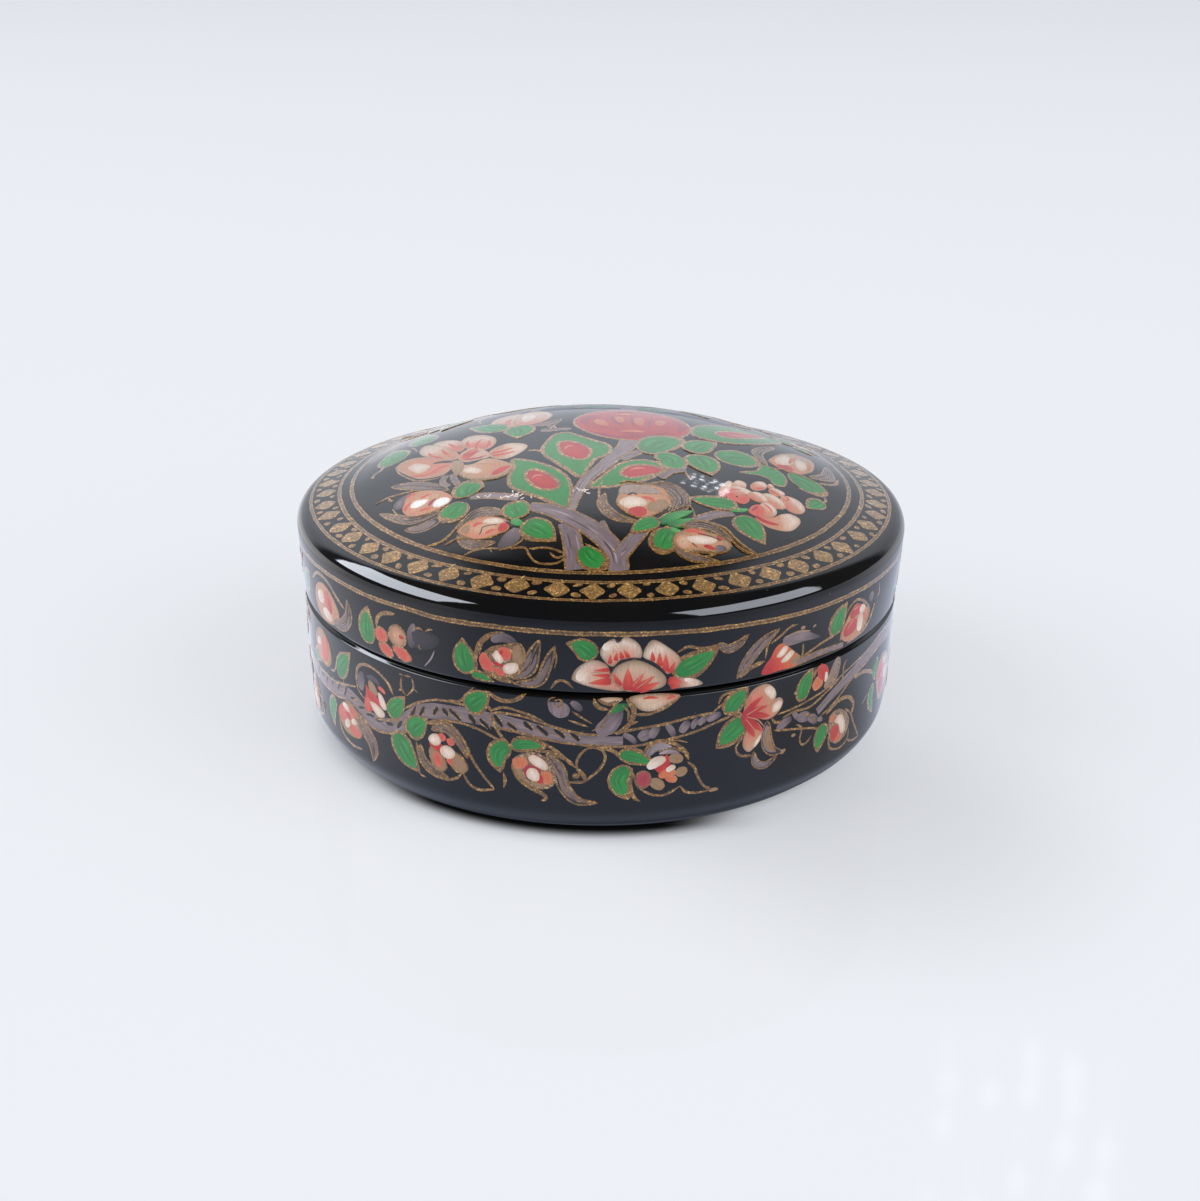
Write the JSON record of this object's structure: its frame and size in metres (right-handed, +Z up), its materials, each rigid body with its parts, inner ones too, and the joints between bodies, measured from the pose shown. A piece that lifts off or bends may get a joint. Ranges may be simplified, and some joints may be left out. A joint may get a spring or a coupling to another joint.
{
  "type": "papier mache box",
  "caption": "Round black-lacquered papier mache trinket box: low domed lift-off lid over a glued inner collar, painted flowers and vines with gold lines.",
  "frame": {"origin": "centre of the flat underside", "axes": "+Z up along the box's round axis, -Y to the side with the foot of the painted tree"},
  "size_m": [0.1, 0.1, 0.05],
  "materials": {
    "base_lacquer": "gloss black lacquer over moulded paper",
    "collar_lacquer": "satin black paint over a glued paper strip",
    "lid_lacquer": "gloss black lacquer over moulded paper"
  },
  "bodies": {
    "base": {"base_cup": "base_lacquer", "collar": "collar_lacquer"},
    "lid": {"lid": "lid_lacquer"}
  },
  "joints": [
    {"name": "lid_lift", "type": "slide", "parent": "base", "child": "lid", "axis": [0, 0, 1], "range_m": [0, 0.06]}
  ]
}
